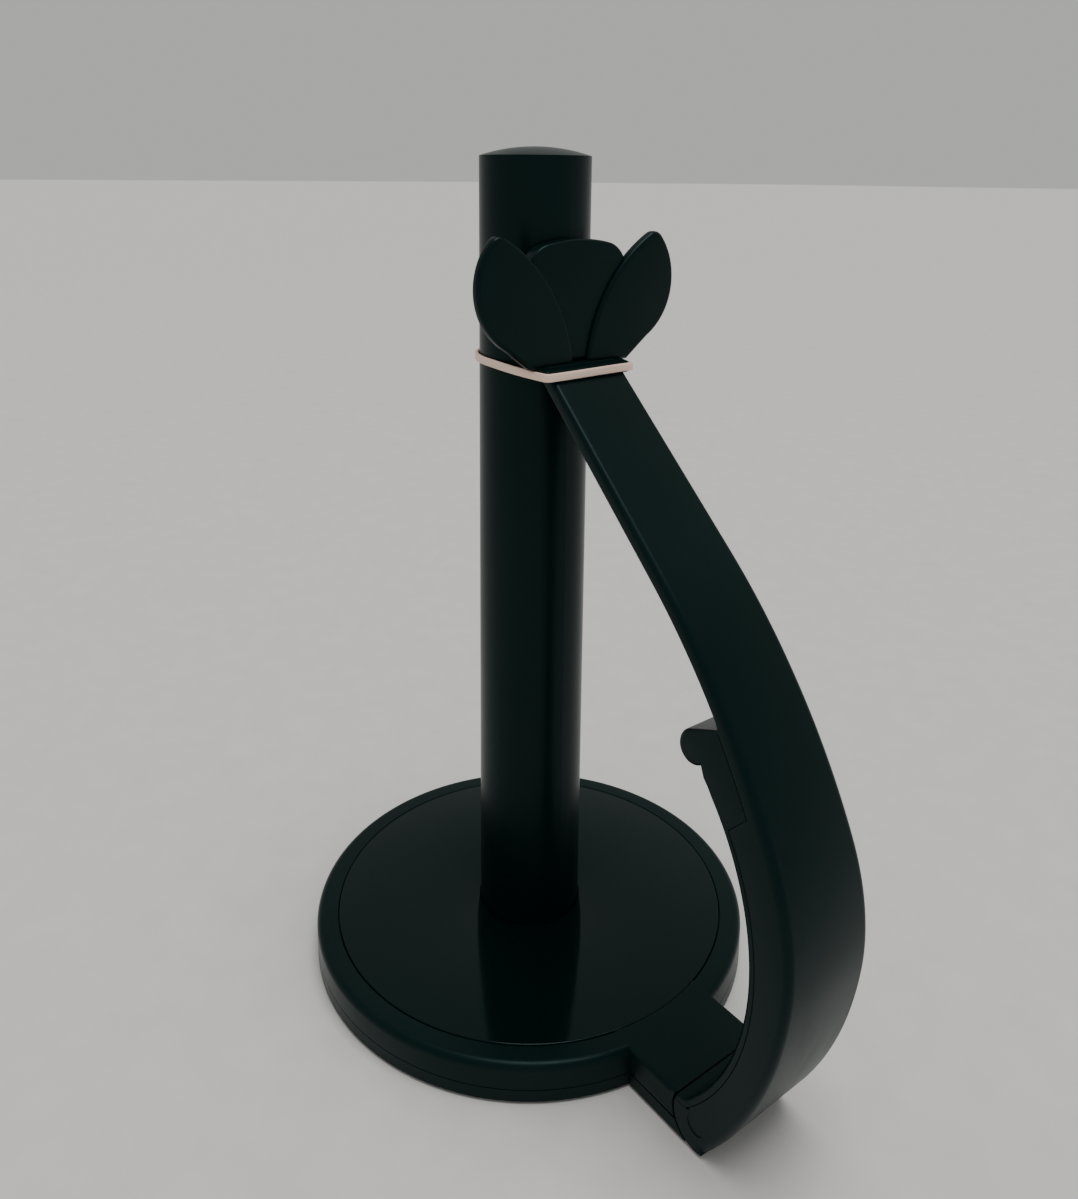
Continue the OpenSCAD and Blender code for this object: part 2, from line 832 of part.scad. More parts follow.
base_shell();
deck_plate();
ballast_ring();
bottom_cover();
cover_screws();
centre_pad();
foot_pad(0);  // foot_pad_1
foot_pad(1);  // foot_pad_2
foot_pad(2);  // foot_pad_3
foot_pad(3);  // foot_pad_4
foot_pad(4);  // foot_pad_5
post_tube();
post_cap();
post_foot_plug();
post_bolt();
bolt_washer();
hinge_bracket();
bracket_screws();
hinge_bush(-1);  // hinge_bush_left
hinge_bush(1);  // hinge_bush_right
hinge_pin();
pin_cap(-1);  // pin_cap_left
pin_cap(1);  // pin_cap_right
torsion_spring();
arm_shell();
arm_inner_cover();
arm_cover_screws();
petal_head();
head_screws();
rubber_band();
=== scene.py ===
import json
import math

import bmesh
import bpy
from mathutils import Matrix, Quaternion, Vector
from mathutils.geometry import tessellate_polygon


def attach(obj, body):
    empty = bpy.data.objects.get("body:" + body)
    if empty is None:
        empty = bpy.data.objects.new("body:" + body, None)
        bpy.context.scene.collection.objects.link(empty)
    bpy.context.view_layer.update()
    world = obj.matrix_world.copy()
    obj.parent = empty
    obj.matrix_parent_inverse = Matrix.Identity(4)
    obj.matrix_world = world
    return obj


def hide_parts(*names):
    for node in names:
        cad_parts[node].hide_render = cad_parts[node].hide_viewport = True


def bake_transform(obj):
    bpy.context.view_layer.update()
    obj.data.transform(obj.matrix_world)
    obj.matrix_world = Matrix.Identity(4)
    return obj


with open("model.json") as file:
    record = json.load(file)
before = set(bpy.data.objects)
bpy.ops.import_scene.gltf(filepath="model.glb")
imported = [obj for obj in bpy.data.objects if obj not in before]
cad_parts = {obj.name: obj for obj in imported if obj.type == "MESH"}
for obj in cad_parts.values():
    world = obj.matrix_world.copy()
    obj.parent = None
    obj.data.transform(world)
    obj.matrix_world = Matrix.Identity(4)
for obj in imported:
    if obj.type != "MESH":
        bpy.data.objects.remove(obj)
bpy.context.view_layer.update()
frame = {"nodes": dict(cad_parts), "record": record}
MM = 0.001


# ---------------------------------------------------------------- materials

class Nodes:
    """Short way to add and wire shader nodes in one material."""

    def __init__(self, name):
        self.mat = bpy.data.materials.new(name)
        self.mat.use_nodes = True
        self.tree = self.mat.node_tree
        self.shader = self.tree.nodes["Principled BSDF"]
        self.coord = self.tree.nodes.new("ShaderNodeTexCoord")

    def add(self, kind, inputs=None, **props):
        node = self.tree.nodes.new(kind)
        for key, value in props.items():
            setattr(node, key, value)
        for key, value in (inputs or {}).items():
            self.put(node.inputs[key], value)
        return node

    def put(self, socket, value):
        if isinstance(value, bpy.types.NodeSocket):
            self.tree.links.new(value, socket)
        else:
            socket.default_value = value

    def noise(self, scale, detail=4.0, rough=0.5, vector=None):
        return self.add("ShaderNodeTexNoise", {
            "Vector": vector or self.coord.outputs["Object"],
            "Scale": scale, "Detail": detail, "Roughness": rough}).outputs["Fac"]

    def stretch(self, scale):
        return self.add("ShaderNodeMapping", {
            "Vector": self.coord.outputs["Object"], "Scale": scale}).outputs["Vector"]

    def span(self, value, lo, hi, to_lo, to_hi):
        inputs = {"Value": value, "From Min": lo, "From Max": hi, "To Min": to_lo, "To Max": to_hi}
        return self.add("ShaderNodeMapRange", inputs).outputs["Result"]

    def math(self, op, a, b=0.0):
        return self.add("ShaderNodeMath", {0: a, 1: b}, operation=op).outputs[0]

    def ramp(self, value, stops):
        node = self.add("ShaderNodeValToRGB", {"Fac": value})
        ramp = node.color_ramp
        while len(ramp.elements) < len(stops):
            ramp.elements.new(0.5)
        for element, (at, rgb) in zip(ramp.elements, stops):
            element.position = at
            element.color = (*rgb, 1.0)
        return node.outputs["Color"]

    def bump(self, height, strength, distance, after=None):
        values = {"Height": height, "Strength": strength, "Distance": distance}
        if after is not None:
            values["Normal"] = after
        return self.add("ShaderNodeBump", values).outputs["Normal"]

    def finish(self, colour, roughness, normal=None, **fixed):
        self.put(self.shader.inputs["Base Color"], colour)
        self.put(self.shader.inputs["Roughness"], roughness)
        if normal is not None:
            self.put(self.shader.inputs["Normal"], normal)
        for key, value in fixed.items():
            self.shader.inputs[key.replace("_", " ")].default_value = value
        return self.mat


SHEEN_TINT = (0.62, 1.0, 0.97, 1.0)
DUST = (0.03, 0.034, 0.033, 1.0)


def dark_plastic(name, low, high, gloss, spread, grain, level):
    """Moulded near-black plastic: faint flow clouds, a fine grain, specks of dust and hairline rubs."""
    m = Nodes(name)
    clouds = m.noise(14.0, 5.0)
    specks = m.noise(2600.0, 2.0, 0.6)
    rubs = m.noise(90.0, 6.0, 0.7, m.stretch((1.0, 1.0, 0.12)))
    dust = m.span(specks, 0.7, 0.78, 0.0, 0.25)
    colour = m.add("ShaderNodeMixRGB", {
        "Fac": dust, "Color1": m.ramp(clouds, [(0.32, low), (0.7, high)]), "Color2": DUST}).outputs["Color"]
    rough = m.math("ADD", m.span(clouds, 0.3, 0.7, gloss - spread, gloss + spread),
                   m.span(rubs, 0.5, 0.75, 0.0, spread))
    normal = m.bump(m.noise(3200.0, 2.0), grain, 0.00004)
    normal = m.bump(m.noise(45.0, 3.0), 0.12, 0.0003, normal)
    return m.finish(colour, rough, normal, IOR=1.5, Specular_IOR_Level=level, Specular_Tint=SHEEN_TINT)


def metal(name, low, high, rough_low, rough_high, stretch):
    """Bare metal with fine streaks, drawn out by stretch."""
    m = Nodes(name)
    streaks = m.noise(900.0, 4.0, 0.6, m.stretch(stretch))
    clouds = m.noise(120.0, 4.0)
    normal = m.bump(streaks, 0.25, 0.00005)
    return m.finish(m.ramp(clouds, [(0.3, low), (0.7, high)]),
                    m.span(streaks, 0.3, 0.7, rough_low, rough_high), normal, Metallic=1.0)


def soft(name, low, high, rough_low, rough_high, grain_scale, grain):
    """Rubber and the like: cloudy colour and a fine matt grain."""
    m = Nodes(name)
    clouds = m.noise(60.0, 5.0)
    fine = m.noise(grain_scale, 4.0, 0.6)
    return m.finish(m.ramp(clouds, [(0.3, low), (0.7, high)]), m.span(fine, 0.3, 0.7, rough_low, rough_high),
                    m.bump(fine, grain, 0.0001))


satin = dark_plastic("satin_plastic", (0.0008, 0.0066, 0.0062), (0.0014, 0.0092, 0.0086),
                     gloss=0.3, spread=0.05, grain=0.25, level=0.13)
gloss = dark_plastic("gloss_plastic", (0.0007, 0.0048, 0.0045), (0.0011, 0.0066, 0.0061),
                     gloss=0.07, spread=0.02, grain=0.05, level=0.2)
zinc = metal("zinc_steel", (0.5, 0.52, 0.55), (0.66, 0.66, 0.64), 0.24, 0.42, (1.0, 1.0, 6.0))
wire = metal("spring_steel", (0.42, 0.42, 0.43), (0.56, 0.55, 0.54), 0.22, 0.36, (6.0, 1.0, 6.0))
iron = metal("cast_iron", (0.1, 0.1, 0.105), (0.2, 0.195, 0.19), 0.5, 0.75, (1.0, 1.0, 1.0))
rubber = soft("rubber", (0.022, 0.022, 0.023), (0.04, 0.04, 0.041), 0.6, 0.85, 2200.0, 0.4)
nylon = soft("nylon", (0.62, 0.6, 0.53), (0.74, 0.72, 0.65), 0.42, 0.6, 1400.0, 0.15)
latex = soft("latex", (0.9, 0.65, 0.53), (0.95, 0.73, 0.61), 0.5, 0.72, 1500.0, 0.35)

BY_SLOT = {"satin_plastic": satin, "gloss_plastic": gloss, "zinc_steel": zinc, "spring_steel": wire,
           "cast_iron": iron, "rubber": rubber, "nylon": nylon, "latex": latex}
slot_of = {s["node"]: s["material_slot"] for s in frame["record"]["subparts"]}
for name, node in frame["nodes"].items():
    node.data.materials.clear()
    node.data.materials.append(BY_SLOT[slot_of[name]])

# ---------------------------------------------------------------- shapes

def heading(a):
    """Cosine and sine of an angle in degrees."""
    return math.cos(math.radians(a)), math.sin(math.radians(a))


def arc(c, r, a0, a1, steps):
    """Points along an arc, in millimetres."""
    turn = (a1 - a0) / steps
    rays = [heading(a0 + turn * i) for i in range(steps + 1)]
    return [(c[0] + r * ray[0], c[1] + r * ray[1]) for ray in rays]


SAME_POINT_MM = 0.0005
SAME_POINT = 0.000001


def new_object(name, bm, material, smooth_angle=35.0):
    """Makes an object from a bmesh in millimetres and gives it clean smooth shading."""
    bmesh.ops.remove_doubles(bm, verts=bm.verts, dist=SAME_POINT_MM)
    bmesh.ops.recalc_face_normals(bm, faces=bm.faces)
    bmesh.ops.scale(bm, vec=(MM, MM, MM), verts=bm.verts)
    me = bpy.data.meshes.new(name)
    bm.to_mesh(me)
    bm.free()
    me.materials.append(material)
    ob = bpy.data.objects.new(name, me)
    bpy.context.scene.collection.objects.link(ob)
    shade(ob, smooth_angle)
    return ob


def shade(ob, smooth_angle):
    ob.data.shade_smooth()
    ob.data.set_sharp_from_angle(angle=math.radians(smooth_angle))


def ring_faces(bm, low, high):
    """A closed band of quads between two rings of points."""
    n = len(low)
    for i in range(n):
        bm.faces.new((low[i], low[(i + 1) % n], high[(i + 1) % n], high[i]))


def inward(outline, i):
    """Mitred inward normal at corner i of an outline that runs anticlockwise."""
    n = len(outline)
    p, q, r = Vector(outline[i - 1]), Vector(outline[i]), Vector(outline[(i + 1) % n])
    e0, e1 = (q - p).normalized(), (r - q).normalized()
    n0, n1 = Vector((-e0.y, e0.x)), Vector((-e1.y, e1.x))
    m = (n0 + n1).normalized()
    return m / max(m.dot(n0), 0.5)


def tidy_outline(points, gap=0.05):
    """Drops repeated points and makes the outline run anticlockwise."""
    kept = [p for i, p in enumerate(points) if math.dist(p, points[i - 1]) > gap]
    area = sum(kept[i - 1][0] * p[1] - p[0] * kept[i - 1][1] for i, p in enumerate(kept))
    return kept if area > 0 else kept[::-1]


def slab(bm, outline, place, low, high, round_low, round_high, steps=5):
    """A flat outline made thick, with its edges rounded. place(u, v, w) maps to space; low, high and the
    rounding radii are functions of (u, v)."""
    outline = tidy_outline(outline)
    normals = [inward(outline, i) for i in range(len(outline))]
    rings = []
    for side, radius in ((0, round_low), (1, round_high)):
        for k in range(steps + 1):
            a = math.radians(90.0 * (k if side else steps - k) / steps)
            ring = []
            for (u, v), n in zip(outline, normals):
                r = radius(u, v)
                inset = r * (1 - math.cos(a))
                pu, pv = u + n[0] * inset, v + n[1] * inset
                w = high(u, v) - r * (1 - math.sin(a)) if side else low(u, v) + r * (1 - math.sin(a))
                ring.append(bm.verts.new(place(pu, pv, w)))
            rings.append(ring)
    for first, second in zip(rings, rings[1:]):
        ring_faces(bm, first, second)
    for ring in (rings[0], rings[-1]):
        for tri in tessellate_polygon([[v.co for v in ring]]):
            bm.faces.new([ring[i] for i in tri])


def lathe(bm, profile, sides=128):
    """Turns a closed profile of (radius, height) about Z."""
    rows = []
    for k in range(sides):
        c, s = math.cos(2 * math.pi * k / sides), math.sin(2 * math.pi * k / sides)
        rows.append([bm.verts.new((r * c, r * s, z)) for r, z in profile])
    for a, b in zip(rows, rows[1:] + rows[:1]):
        ring_faces(bm, a, b)


def tube(bm, path, section, closed):
    """Sweeps a closed section along a path that never runs along Y; section points are (across, above)."""
    n = len(path)
    rings = []
    for i, p in enumerate(path):
        ahead = path[(i + 1) % n] if closed else path[min(i + 1, n - 1)]
        behind = path[i - 1] if closed else path[max(i - 1, 0)]
        along = (ahead - behind).normalized()
        across = section["up"].cross(along).normalized()
        above = along.cross(across)
        rings.append([bm.verts.new(p + across * u + above * v) for u, v in section["points"]])
    for a, b in zip(rings, rings[1:] + (rings[:1] if closed else [])):
        ring_faces(bm, a, b)
    if not closed:
        for ring in (rings[0], rings[-1]):
            bm.faces.new(ring)


def mend(me):
    """Merges points a hair apart and closes the pinholes a boolean can leave."""
    bm = bmesh.new()
    bm.from_mesh(me)
    bmesh.ops.remove_doubles(bm, verts=bm.verts, dist=SAME_POINT)
    bmesh.ops.dissolve_degenerate(bm, dist=SAME_POINT, edges=bm.edges)
    bmesh.ops.holes_fill(bm, edges=[e for e in bm.edges if e.is_boundary], sides=0)
    bmesh.ops.recalc_face_normals(bm, faces=bm.faces)
    bm.to_mesh(me)
    bm.free()


def combine(ob, other, how):
    """Boolean of two objects, kept in the first; the second is removed."""
    mod = ob.modifiers.new("cut", "BOOLEAN")
    mod.object, mod.operation, mod.solver = other, how, "EXACT"
    dg = bpy.context.evaluated_depsgraph_get()
    me = bpy.data.meshes.new_from_object(ob.evaluated_get(dg))
    mend(me)
    ob.modifiers.clear()
    old = ob.data
    name = old.name
    ob.data = me
    bpy.data.meshes.remove(old)
    me.name = name
    bpy.data.objects.remove(other)
    return ob


def fixed(value):
    """A height or radius that is the same all over an outline."""
    return lambda u, v: value


# Where a slab's outline lies: in the arm's plane, facing along X, or flat above the table
def on_edge(u, v, w):
    return (u, w, v)


def upright(u, v, w):
    return (w, u, v)


def flat(u, v, w):
    return (u, v, w)


# ---------------------------------------------------------------- the arm's curves, as in the CAD

# The outer face leaves the table at TIP_X, bends on three arcs from lean to lean, then runs straight
TIP_X = 111.3
LEANS = (52.0, 84.0, 113.5, 136.8)
BENDS = (132.0, 78.0, 218.0)
STRAIGHT_STEPS = range(4, 96, 4)
ARM_W, TAPER = 19.0, 0.0155
INNER_C, INNER_R = (44.5, 69.0), 80.3
COVER_T, STRAP_T = 2.5, 5.0
PIVOT, HUB_R = (109.5, 10.2), 9.4
NOSE_C, NOSE_R, NOSE_ROOT, NOSE_UNDER = (98.8, 130.9), 5.4, (108.9, 141.3), (104.0, 124.4)
LUG_TOP = 14.6


def step(p, a, r):
    """Moves from p by r along the outward normal of a face that leans by a."""
    c, s = heading(a)
    return (p[0] + r * s, p[1] - r * c)


def outer_face(t, steps=26):
    """The outer face moved inwards by t, from the table to the collar."""
    c1 = step((TIP_X, 0.0), LEANS[0], -BENDS[0])
    c2 = step(c1, LEANS[1], BENDS[0] - BENDS[1])
    c3 = step(c2, LEANS[2], BENDS[1] - BENDS[2])
    points = []
    for c, r, a0, a1 in zip((c1, c2, c3), BENDS, LEANS, LEANS[1:]):
        points += [step(c, a0 + (a1 - a0) * i / steps, r - t) for i in range(steps + 1)]
    dx, dz = heading(LEANS[3])
    last = points[-1]
    return points + [(last[0] + dx * s, last[1] + dz * s) for s in STRAIGHT_STEPS]


def arm_half_width(u, v):
    return ARM_W - TAPER * v


def minus_half_width(u, v):
    return -arm_half_width(u, v)


# ---------------------------------------------------------------- arm

def cover_arc(r, z0, z1, steps):
    """The inner face, or the back of the cover's skin, from height z0 to z1."""
    a0 = math.degrees(math.asin((z0 - INNER_C[1]) / r))
    a1 = math.degrees(math.asin((z1 - INNER_C[1]) / r))
    return arc(INNER_C, r, a0, a1, steps)


STRAP_IN = outer_face(STRAP_T)
SEAM_LOW, SEAM_SLOPE = (110.0, 114.0), 10.0 / 14.0
HEAD_X = 19.5
STRAP_END_X, STRAP_END_Z = HEAD_X + 0.3, (230.0, 231.9)
SKIN_TOP_Z = 113.2
SHELL_FOOT_X = (106.9, 105.6)
COLLAR_X, COLLAR_W, COLLAR_Z = 30.6, 17.6, (226.4, 231.4)
KNUCKLE_ROOM = 5.1


def crossing(points, c, r):
    """First point where a polyline enters or leaves a circle."""
    for p, q in zip(points, points[1:]):
        if (math.dist(p, c) < r) != (math.dist(q, c) < r):
            lo, hi = 0.0, 1.0
            for _ in range(40):
                t = (lo + hi) / 2
                m = (p[0] + (q[0] - p[0]) * t, p[1] + (q[1] - p[1]) * t)
                if (math.dist(m, c) < r) == (math.dist(p, c) < r):
                    lo = t
                else:
                    hi = t
            return m
    raise ValueError("no crossing")


# where the strap's inner face meets the nose's straight underside
seam_top = min(STRAP_IN, key=lambda p: abs((p[1] - SEAM_LOW[1]) - (p[0] - SEAM_LOW[0]) * SEAM_SLOPE))
skin_back = cover_arc(INNER_R + COVER_T, LUG_TOP, SKIN_TOP_Z, 40)
outer = outer_face(0.0)
foot_end = crossing(outer, PIVOT, HUB_R)
foot_a = math.degrees(math.atan2(foot_end[1] - PIVOT[1], foot_end[0] - PIVOT[0])) % 360
FOOT_COVER_Z = 12.8
foot_side_a = 180 - math.degrees(math.asin((FOOT_COVER_Z - PIVOT[1]) / HUB_R))

shell_outline = (
    [p for p in outer if foot_end[1] < p[1] < STRAP_END_Z[1]]
    + [(STRAP_END_X, STRAP_END_Z[1]), (STRAP_END_X, STRAP_END_Z[0])]
    + [p for p in STRAP_IN[::-1] if seam_top[1] <= p[1] < STRAP_END_Z[0] - 0.4 and p[0] > STRAP_END_X]
    + skin_back[::-1]
    + [(SHELL_FOOT_X[0], LUG_TOP - 0.6), (SHELL_FOOT_X[1], FOOT_COVER_Z)]
    + arc(PIVOT, HUB_R, foot_side_a, foot_a, 30)[:-1]
    + [foot_end])


OUTER_ROUND, STRAP_ROUND, SEAM_ROUND = 2.6, 1.3, 0.25


def shell_round(u, v):
    """Edge radius: full on the outer face, slim on the strap's inner face, a fine line at the seam."""
    nearest = min(math.dist((u, v), p) for p in outer)
    if nearest < 0.6:
        return OUTER_ROUND - 1.0 * min(max((v - 150.0) / 80.0, 0.0), 1.0)
    if v > NOSE_ROOT[1] + 0.5:
        return STRAP_ROUND
    return SEAM_ROUND


OUTER_WALL = 3.0
INSIDE_HALF_W, INSIDE_Z, INSIDE_BACK_Z = 14.97, (11.0, 116.0), 112.1
INSIDE_FOOT = [(100.0, 12.0), (90.0, 12.0), (90.0, 3.2)]
CAP_BORE_R, CAP_BORE_Y = 3.4, (17.0, 25.0)
COLLAR_CORNER = 1.0
COLLAR_BACK_X = HEAD_X + 0.34
COLLAR_SLOPE_X, COLLAR_SLOPE = 24.6, 1.4 / 6.0


def arm_inside():
    back = cover_arc(INNER_R + COVER_T - 0.2, LUG_TOP - 3, INSIDE_BACK_Z, 24)
    front = [p for p in outer_face(OUTER_WALL) if INSIDE_Z[0] < p[1] < INSIDE_Z[1]]
    foot_room = arc(PIVOT, HUB_R - 2.4, -25, -170, 16)
    bm = bmesh.new()
    slab(bm, front + back[::-1] + INSIDE_FOOT + foot_room[::-1], on_edge,
         fixed(-INSIDE_HALF_W), fixed(INSIDE_HALF_W), fixed(0.05), fixed(0.05), 1)
    return new_object("cutter", bm, satin)


def pin_cap_bore(side):
    near, far = sorted(side * y for y in CAP_BORE_Y)
    bm = bmesh.new()
    slab(bm, arc(PIVOT, CAP_BORE_R, 0, 360, 40)[:-1], on_edge, fixed(near), fixed(far),
         fixed(0.02), fixed(0.02), 1)
    return new_object("cutter", bm, satin)


def collar_top(u, v):
    return COLLAR_Z[1] - max(u - COLLAR_SLOPE_X, 0.0) * COLLAR_SLOPE


def collar():
    c = COLLAR_CORNER
    plan = ([(COLLAR_BACK_X, -COLLAR_W)]
            + arc((COLLAR_X - c, -COLLAR_W + c), c, -90, 0, 6)
            + arc((COLLAR_X - c, COLLAR_W - c), c, 0, 90, 6)
            + [(COLLAR_BACK_X, COLLAR_W)])
    bm = bmesh.new()
    slab(bm, plan, flat, fixed(COLLAR_Z[0]), collar_top, fixed(0.7), fixed(0.5), 4)
    return new_object("collar", bm, satin)


def build_shell():
    bm = bmesh.new()
    slab(bm, shell_outline, on_edge, minus_half_width, arm_half_width, shell_round, shell_round, 6)
    ob = new_object("arm_shell_skin", bm, satin)
    combine(ob, arm_inside(), "DIFFERENCE")
    for side in (-1, 1):
        combine(ob, pin_cap_bore(side), "DIFFERENCE")
    combine(ob, collar(), "UNION")
    shade(ob, 32.0)
    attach(ob, "arm")
    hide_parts("arm_shell")


COVER_FOOT = [(101.3, LUG_TOP), (103.4, LUG_TOP)]
COVER_BACK_FOOT, COVER_FOOT_END = (106.8, LUG_TOP - 0.5), (100.6, FOOT_COVER_Z)
COVER_LIP_Z = 123.6
LIP_ROUND, NOSE_ROUND = 1.3, 1.7
COVER_SCREW_ANGLES = (-19.0, 23.0)
# Radius and depth of each step of a screw's bore
SCREW_BORE = ((2.7, -1.0), (2.7, 1.5), (1.4, 1.5), (1.4, 6.0))


def nose_top():
    """Angle at which the nose's straight top touches its round."""
    span = math.dist(NOSE_C, NOSE_ROOT)
    lean = math.degrees(math.atan2(NOSE_ROOT[1] - NOSE_C[1], NOSE_ROOT[0] - NOSE_C[0]))
    return lean + math.degrees(math.acos(NOSE_R / span))


def cover_screw_bore(a):
    c, s = heading(a)
    turns = [2 * math.pi * k / 32 for k in range(32)]
    bm = bmesh.new()
    rings = []
    for r, depth in SCREW_BORE:
        at = INNER_R + depth
        rings.append([bm.verts.new((INNER_C[0] + c * at - s * r * math.cos(t), r * math.sin(t),
                                    INNER_C[1] + s * at + c * r * math.cos(t))) for t in turns])
    for lo, hi in zip(rings, rings[1:]):
        ring_faces(bm, lo, hi)
    bm.faces.new(rings[0])
    bm.faces.new(rings[-1])
    return new_object("cutter", bm, satin)


def build_cover():
    under_a = math.degrees(math.atan2(NOSE_UNDER[1] - NOSE_C[1], NOSE_UNDER[0] - NOSE_C[0]))
    inner = cover_arc(INNER_R, LUG_TOP - 0.6, COVER_LIP_Z, 44)
    nose = arc(NOSE_C, NOSE_R, under_a + 360, nose_top(), 30)
    lip = [p for p in inner if p[1] > LUG_TOP] + nose
    # the nose's straight top meets the strap, and small gaps leave a fine seam to the shell
    seam = [p for p in STRAP_IN if seam_top[1] <= p[1] < NOSE_ROOT[1] - 0.4]
    outline = (COVER_FOOT + lip + [(NOSE_ROOT[0] - 0.1, NOSE_ROOT[1] - 0.1)]
               + [(p[0] - 0.1, p[1]) for p in seam[::-1]] + [(p[0] - 0.08, p[1]) for p in skin_back[::-1]]
               + [COVER_BACK_FOOT] + arc(PIVOT, KNUCKLE_ROOM, 121, 149, 8) + [COVER_FOOT_END])

    def edge(u, v):
        near = min(math.dist((u, v), p) for p in lip)
        if near > 0.3:
            return SEAM_ROUND
        return NOSE_ROUND if v > 121.0 else LIP_ROUND

    bm = bmesh.new()
    slab(bm, outline, on_edge, minus_half_width, arm_half_width, edge, edge, 6)
    ob = new_object("arm_inner_cover_skin", bm, satin)
    for a in COVER_SCREW_ANGLES:
        combine(ob, cover_screw_bore(a), "DIFFERENCE")
    shade(ob, 32.0)
    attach(ob, "arm")
    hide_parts("arm_inner_cover")


# ---------------------------------------------------------------- head

BOWL_C, BOWL_R, BOWL_FOOT = (18.5, 256.6), 22.6, -60.0
CREASE_C, CREASE_R, CREASE_FOOT = (57.2, 224.9), 54.6, 172.5
TIP_R = 4.2
MIDDLE_R, MIDDLE_TOP = 60.0, 271.2
SHOULDER_R, SHOULDER_Y = 9.5, 11.0
HEAD_FOOT_Z = 231.4
PETAL_T, PETAL_STEP, SIDE_T = 5.1, 1.6, 3.8


PETAL_FOOT = [(3.4, 230.4), (20.5, 229.9)]


def petal_tip():
    """Centre of the round that joins the bowl's arc to the crease's arc."""
    d = math.dist(BOWL_C, CREASE_C)
    ux, uz = (CREASE_C[0] - BOWL_C[0]) / d, (CREASE_C[1] - BOWL_C[1]) / d
    along = ((BOWL_R - TIP_R) ** 2 - (CREASE_R - TIP_R) ** 2 + d * d) / (2 * d)
    across = math.sqrt((BOWL_R - TIP_R) ** 2 - along ** 2)
    return (BOWL_C[0] + along * ux - across * uz, BOWL_C[1] + along * uz + across * ux)


def build_head():
    tip = petal_tip()
    a0 = math.degrees(math.atan2(tip[1] - BOWL_C[1], tip[0] - BOWL_C[0]))
    a1 = math.degrees(math.atan2(tip[1] - CREASE_C[1], tip[0] - CREASE_C[0]))
    side = (PETAL_FOOT + arc(BOWL_C, BOWL_R, BOWL_FOOT, a0, 56) + arc(tip, TIP_R, a0, a1, 16)
            + arc(CREASE_C, CREASE_R, a1, CREASE_FOOT, 36))
    centre_z = MIDDLE_TOP - MIDDLE_R
    lean = math.degrees(math.asin(SHOULDER_Y / (MIDDLE_R - SHOULDER_R)))
    shoulder_z = centre_z + (MIDDLE_R - SHOULDER_R) * math.cos(math.radians(lean))
    half_w = SHOULDER_Y + SHOULDER_R - 1.0
    low_a = -math.degrees(math.acos(1.0 - 1.0 / SHOULDER_R))
    middle = ([(-half_w, HEAD_FOOT_Z), (half_w, HEAD_FOOT_Z)]
              + arc((SHOULDER_Y, shoulder_z), SHOULDER_R, -low_a, 90 - lean, 14)
              + arc((0.0, centre_z), MIDDLE_R, 90 - lean, 90 + lean, 24)[1:-1]
              + arc((-SHOULDER_Y, shoulder_z), SHOULDER_R, 90 + lean, 180 + low_a, 14))
    front = HEAD_X + PETAL_T
    side_front = front + PETAL_STEP
    bm = bmesh.new()
    slab(bm, middle, upright, fixed(HEAD_X), fixed(front), fixed(0.6), fixed(1.1), 5)
    ob = new_object("petal_head_skin", bm, satin)
    for s in (-1, 1):
        bm = bmesh.new()
        petal = [(s * u, v) for u, v in side]
        slab(bm, petal, upright, fixed(side_front - SIDE_T), fixed(side_front), fixed(1.2), fixed(1.5), 6)
        combine(ob, new_object("petal", bm, satin), "UNION")
    shade(ob, 40.0)
    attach(ob, "arm")
    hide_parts("petal_head")


# ---------------------------------------------------------------- base

BASE_R, BASE_H, DECK_R, DECK_T, WALL, SEAM_Z, RIM = 82.3, 14.6, 74.0, 1.8, 2.5, 5.2, 2.6
LUG_W, POST_R = 19.0, 19.1
LUG_X0, LUG_INSIDE_X1, LUG_INSIDE_Z0 = 62.0, 112.0, 1.0
LUG_END_R = HUB_R + 0.5
# The boss under the post: its outer radius, the bolt's hole, and the heights of its foot and seat
BOSS_R, BOLT_HOLE_R, BOSS_FOOT_Z, BOSS_SEAT_Z = 22.0, 3.2, 4.6, 7.6
DECK_GAP, POST_GAP, GROOVE = 0.2, 0.1, 0.35
# The lug's top lies a hair under the base's, so that the boolean meets no shared plane
LUG_FACE_Z = BASE_H - 0.002


def base_profile():
    """Section of the round part: the rim, the seat of the deck plate, the boss, and the hollow under it."""
    ceiling = BASE_H - DECK_T - WALL
    seat_z = BASE_H - DECK_T
    return (arc((BASE_R - RIM, BASE_H - RIM), RIM, 0, 90, 12)
            + [(DECK_R + 0.6, BASE_H), (DECK_R + 0.25, BASE_H - GROOVE), (DECK_R + DECK_GAP, seat_z)]
            + [(POST_R + POST_GAP, seat_z), (POST_R + POST_GAP, BOSS_SEAT_Z), (BOLT_HOLE_R, BOSS_SEAT_Z)]
            + [(BOLT_HOLE_R, BOSS_FOOT_Z), (BOSS_R, BOSS_FOOT_Z), (BOSS_R, ceiling)]
            + [(BASE_R - WALL, ceiling), (BASE_R - WALL, SEAM_Z), (BASE_R - 0.3, SEAM_Z)]
            + [(BASE_R, SEAM_Z + 0.3)])


